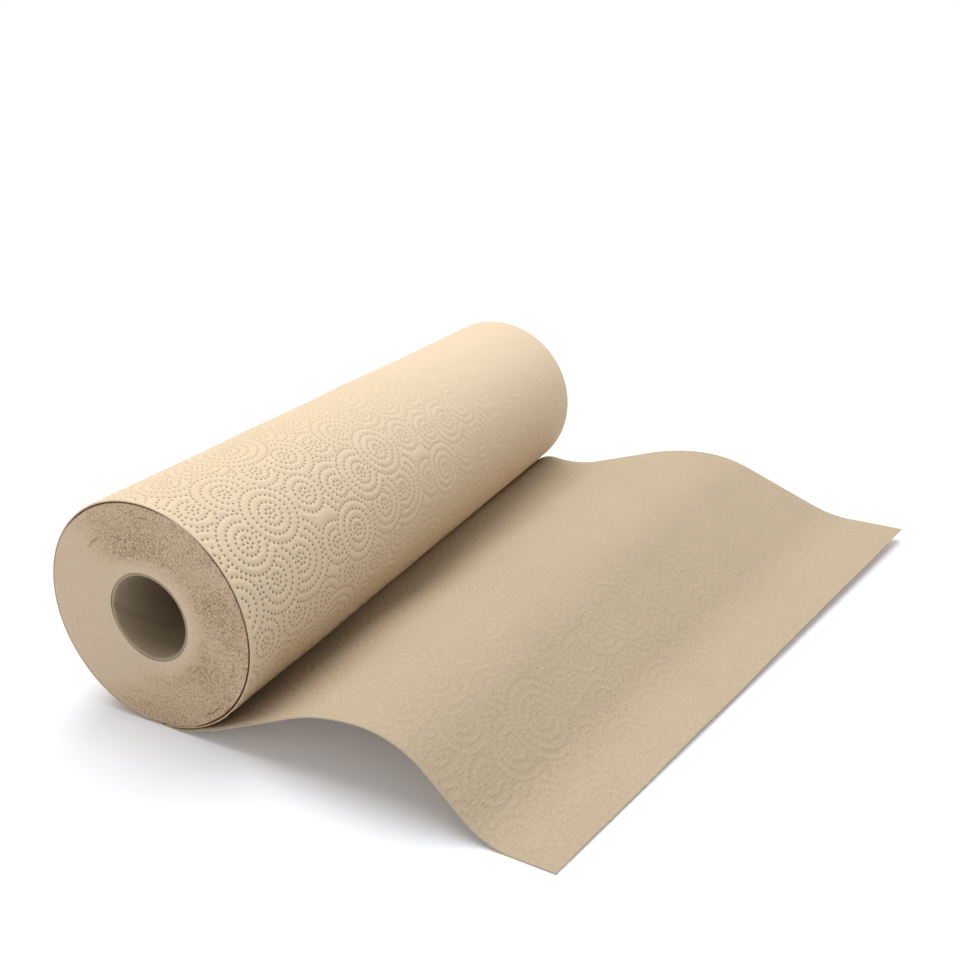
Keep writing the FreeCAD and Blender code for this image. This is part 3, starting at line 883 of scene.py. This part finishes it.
def make_end_face(name, side, finish, seed):
    """Rough face of the cut turns, from the core to the gap, and down into the gap."""
    angle = np.linspace(-math.pi, math.pi, END_SEGMENTS, endpoint=False)
    degrees = np.degrees(angle)
    gap = gap_at(degrees)
    rim_radius = wound_radius(angle) - SHEET_THICKNESS - gap
    # Over the flat spot the rim is a straight line. Elsewhere that line lies outside the rim.
    downward = np.maximum(-np.sin(angle), LEAST_DOWNWARD)
    rim_radius = np.minimum(rim_radius, (-FLOOR_Z - SHEET_THICKNESS - TIGHT_GAP) / downward)
    part = np.linspace(0, 1, END_RINGS)[:, None]
    radius = PAPER_HOLE_RADIUS + part * (rim_radius - PAPER_HOLE_RADIUS)[None]
    flat = np.stack([radius * np.cos(angle), radius * np.sin(angle)], -1).reshape(-1, 2)
    rough, depth, hole = tear(radius, degrees, flat, seed)

    # The gap: down its inner wall, then across its floor to under the last turn, all coloured
    # with painted shade.
    rings = [np.column_stack([flat[:, 0], (side * (HALF_LENGTH + depth)).ravel(), flat[:, 1]])]
    for deep, wall in ((GAP_DEPTH / 2, rim_radius - GAP_INSETS[0]),
                       (GAP_DEPTH, rim_radius - GAP_INSETS[1]),
                       (GAP_DEPTH, rim_radius + gap + GAP_LAP)):
        rings.append(np.column_stack([wall * np.cos(angle),
                                      np.full(END_SEGMENTS, side * (HALF_LENGTH - deep)),
                                      wall * np.sin(angle)]))
    points = np.concatenate(rings)
    gap_points = len(points) - radius.size
    numbers = np.arange(len(points)).reshape(-1, END_SEGMENTS)
    after = np.roll(numbers, -1, axis=1)
    quads = np.stack([numbers[:-1], after[:-1], after[1:], numbers[1:]], -1).reshape(-1, 4)
    if side > 0:
        quads = quads[:, ::-1]
    return make_piece(name, points, quads.tolist(), finish,
                      rough=np.append(rough, np.ones(gap_points)),
                      hole=np.append(np.minimum(hole, 1), np.zeros(gap_points)),
                      gap=np.append(np.zeros(radius.size), np.ones(gap_points)))


# The core

def make_core(finish):
    """Core tube, lathed from its wall's profile, with a fine step along a spiral inside."""
    angle = 2 * math.pi * np.arange(CORE_SEGMENTS) / CORE_SEGMENTS
    inner, outer = CORE_BORE_RADIUS, CORE_OUTER_RADIUS
    mouth = -HALF_LENGTH + CORE_RECESS
    bevel, bevel_along = CORE_OUTER_EDGE
    lip = [(outer, -HALF_LENGTH + CORE_LAP), (outer, mouth + bevel_along),
           (outer - bevel, mouth)]
    lip += [(inner + off, mouth + along) for off, along in CORE_INNER_EDGE]
    bore_end = HALF_LENGTH - CORE_BORE_START
    bore = [(inner, y) for y in np.linspace(-bore_end, bore_end, CORE_ROWS)]
    profile = np.array(lip + bore + [(r, -y) for r, y in reversed(lip)])
    radius = profile[:, 0][:, None] * np.ones(CORE_SEGMENTS)
    length = profile[:, 1][:, None] * np.ones(CORE_SEGMENTS)
    phase = (length / SEAM_LEAD - angle / (2 * math.pi)) % 1
    near_seam = np.minimum(phase, 1 - phase) * SEAM_LEAD
    inside = radius < inner + CORE_BORE_MARGIN
    seam = np.clip(1 - near_seam / SEAM_WIDTH, 0, 1) * inside
    radius = radius + seam * SEAM_DEPTH
    points = np.stack([radius * np.cos(angle), length, radius * np.sin(angle)], -1)
    numbers = np.arange(radius.size).reshape(radius.shape)
    after = np.roll(numbers, -1, axis=1)
    quads = np.stack([numbers[:-1], numbers[1:], after[1:], after[:-1]], -1).reshape(-1, 4)
    closing = np.stack([numbers[-1], numbers[0], after[0], after[-1]], -1)
    faces = np.concatenate([quads, closing])
    return make_piece("core", points.reshape(-1, 3), faces.tolist(), finish,
                      seam=seam.ravel())


# Building the object

tissue, cut_paper, board = make_tissue(), make_cut_paper(), make_board()
pattern = lay_pattern()
last_turn = make_last_turn(pattern, tissue)
tail_sheet, tail_shape = make_tail(pattern, tissue)
near_face = make_end_face("near_end", -1, cut_paper, 21)
far_face = make_end_face("far_end", 1, cut_paper, 22)
core = make_core(board)

for piece in (last_turn, tail_sheet, near_face, far_face):
    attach(piece, "root")
    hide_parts("paper_web")
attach(core, "root")
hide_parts("core_tube")

# Floor, lamps and camera

floor_mesh = bpy.data.meshes.new("floor")
floor_corners = [(x * FLOOR_REACH, y * FLOOR_REACH, FLOOR_Z * MM - FLOOR_BELOW)
                 for x, y in ((-1, -1), (1, -1), (1, 1), (-1, 1))]
floor_mesh.from_pydata(floor_corners, [], [(0, 1, 2, 3)])
floor_mesh.materials.append(make_floor_finish())
floor = bpy.data.objects.new("floor", floor_mesh)
bpy.context.scene.collection.objects.link(floor)


def add_sun(name, place, spread_angle, strength):
    """A soft lamp far away, in the direction of that place."""
    light = bpy.data.lights.new(name, "SUN")
    light.angle = math.radians(spread_angle)
    light.energy = strength
    lamp = bpy.data.objects.new(name, light)
    lamp.location = place
    lamp.rotation_euler = (-Vector(place)).to_track_quat("-Z", "Y").to_euler()
    bpy.context.scene.collection.objects.link(lamp)


add_sun("top soft box", (-0.3, 0.2, 1.35), spread_angle=50, strength=2.1)
add_sun("back soft box", (-0.1, 0.8, 1.1), spread_angle=60, strength=0.75)
add_sun("front soft box", (0.5, -0.5, 1.2), spread_angle=70, strength=0.35)

bpy.context.scene.world = make_world(strength=0.31)

lens = bpy.data.cameras.new("camera")
lens.sensor_width = CAMERA_SENSOR
lens.lens = CAMERA_LENS
camera = bpy.data.objects.new("camera", lens)
camera.location = CAMERA_PLACE
camera.rotation_euler = Vector(CAMERA_AIM).to_track_quat("-Z", "Y").to_euler()
bpy.context.scene.collection.objects.link(camera)
bpy.context.scene.camera = camera
bpy.context.scene.view_settings.view_transform = "Standard"
